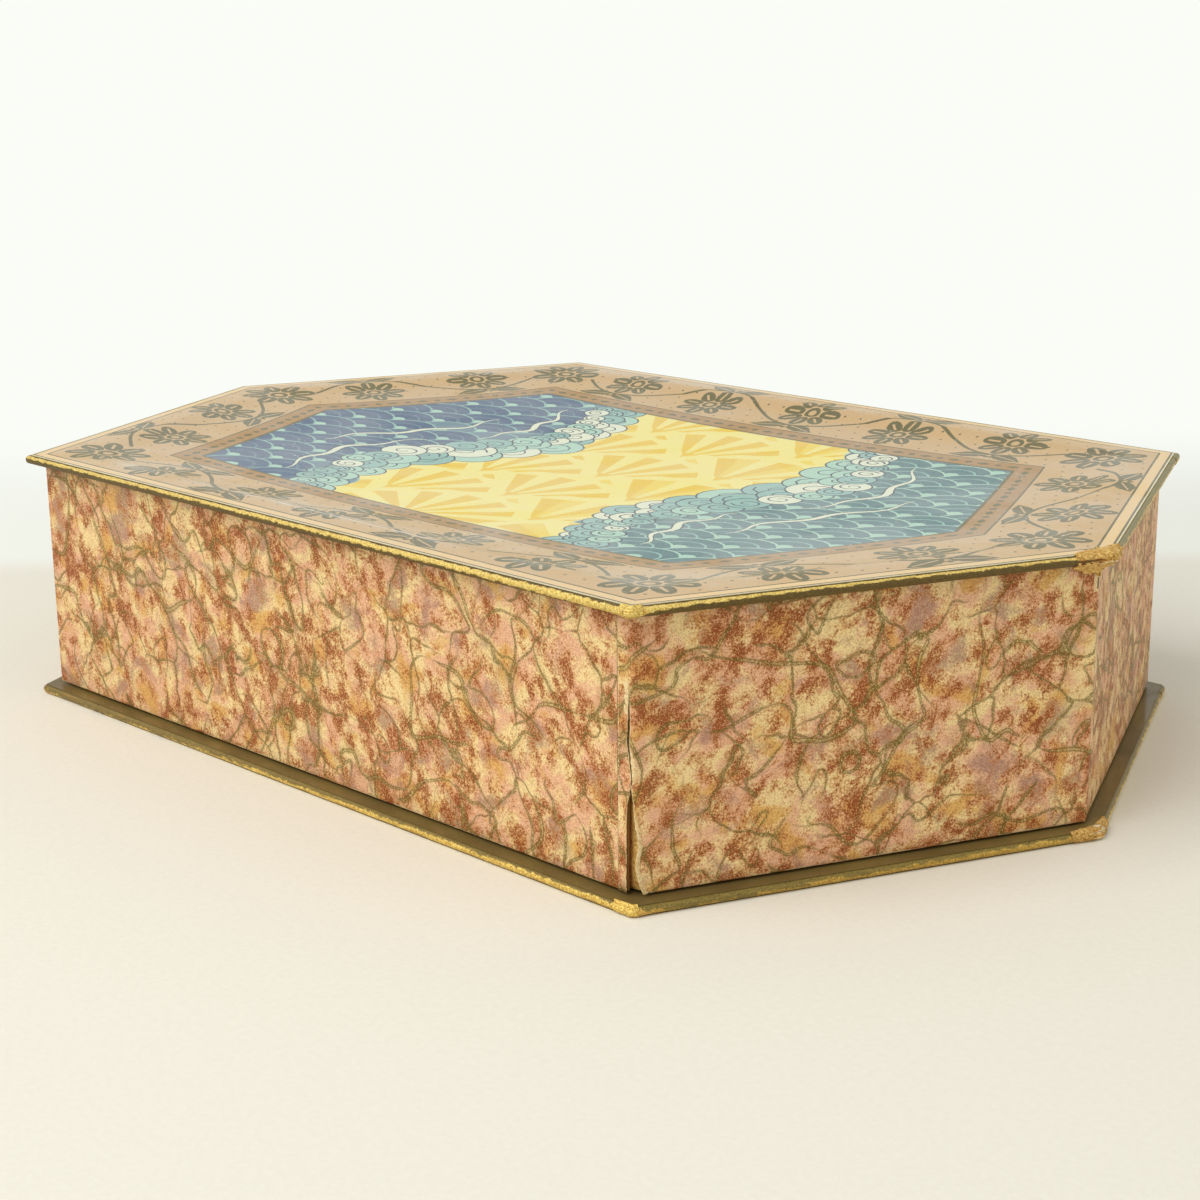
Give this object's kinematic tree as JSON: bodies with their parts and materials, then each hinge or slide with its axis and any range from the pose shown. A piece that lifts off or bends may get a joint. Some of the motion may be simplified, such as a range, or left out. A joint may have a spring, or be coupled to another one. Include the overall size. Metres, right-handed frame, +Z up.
{
  "type": "chocolate box",
  "caption": "Elongated six-sided paper-covered card box: a deep lid with overhanging gilt-edged top lifts straight off an inner tray on an overhanging base.",
  "frame": {"origin": "middle of the underside, on the surface the box stands on", "axes": "+X along the long axis to the right end corner, +Y to the back long side, +Z up; the lid lifts along +Z"},
  "size_m": [0.3388, 0.2248, 0.0715],
  "materials": {
    "straw_board": "raw straw board, dry and matt",
    "gummed_tape": "brown kraft paper, matt",
    "gilt_paper": "tarnished gilt paper with rubbed ochre edges",
    "olive_paper": "smooth dark olive-brown paper, satin",
    "lining_paper": "off-white lining paper",
    "fancy_paper": "crackled marbled paper in cream, salmon, rust and mauve with olive-gold veins",
    "printed_paper": "lightly varnished printed paper"
  },
  "bodies": {
    "base": {"base_board": "straw_board", "base_underside_paper": "olive_paper", "base_top_paper": "olive_paper", "tray_floor_paper": "lining_paper", "tray_cover": "lining_paper", "base_edging_front": "gilt_paper", "base_edging_front_right": "gilt_paper", "base_edging_back_right": "gilt_paper", "base_edging_back": "gilt_paper", "base_edging_back_left": "gilt_paper", "base_edging_front_left": "gilt_paper", "tray_wall_front": "straw_board", "tray_wall_front_right": "straw_board", "tray_wall_back_right": "straw_board", "tray_wall_back": "straw_board", "tray_wall_back_left": "straw_board", "tray_wall_front_left": "straw_board", "tray_stay_front_left": "gummed_tape", "tray_stay_front_right": "gummed_tape", "tray_stay_right_end": "gummed_tape", "tray_stay_back_right": "gummed_tape", "tray_stay_back_left": "gummed_tape", "tray_stay_left_end": "gummed_tape"},
    "lid": {"lid_board": "straw_board", "lid_print": "printed_paper", "lid_underside_paper": "olive_paper", "lid_lining": "lining_paper", "lid_edging_front": "gilt_paper", "lid_edging_front_right": "gilt_paper", "lid_edging_back_right": "gilt_paper", "lid_edging_back": "gilt_paper", "lid_edging_back_left": "gilt_paper", "lid_edging_front_left": "gilt_paper", "lid_wall_front": "straw_board", "lid_wall_front_right": "straw_board", "lid_wall_back_right": "straw_board", "lid_wall_back": "straw_board", "lid_wall_back_left": "straw_board", "lid_wall_front_left": "straw_board", "wall_paper_front": "fancy_paper", "wall_paper_front_right": "fancy_paper", "wall_paper_back_right": "fancy_paper", "wall_paper_back": "fancy_paper", "wall_paper_back_left": "fancy_paper", "wall_paper_front_left": "fancy_paper", "lid_stay_front_left": "gummed_tape", "lid_stay_front_right": "gummed_tape", "lid_stay_right_end": "gummed_tape", "lid_stay_back_right": "gummed_tape", "lid_stay_back_left": "gummed_tape", "lid_stay_left_end": "gummed_tape"}
  },
  "joints": [
    {"name": "lid_lift", "type": "slide", "parent": "base", "child": "lid", "axis": [0, 0, 1], "range_m": [0, 0.0752]}
  ]
}
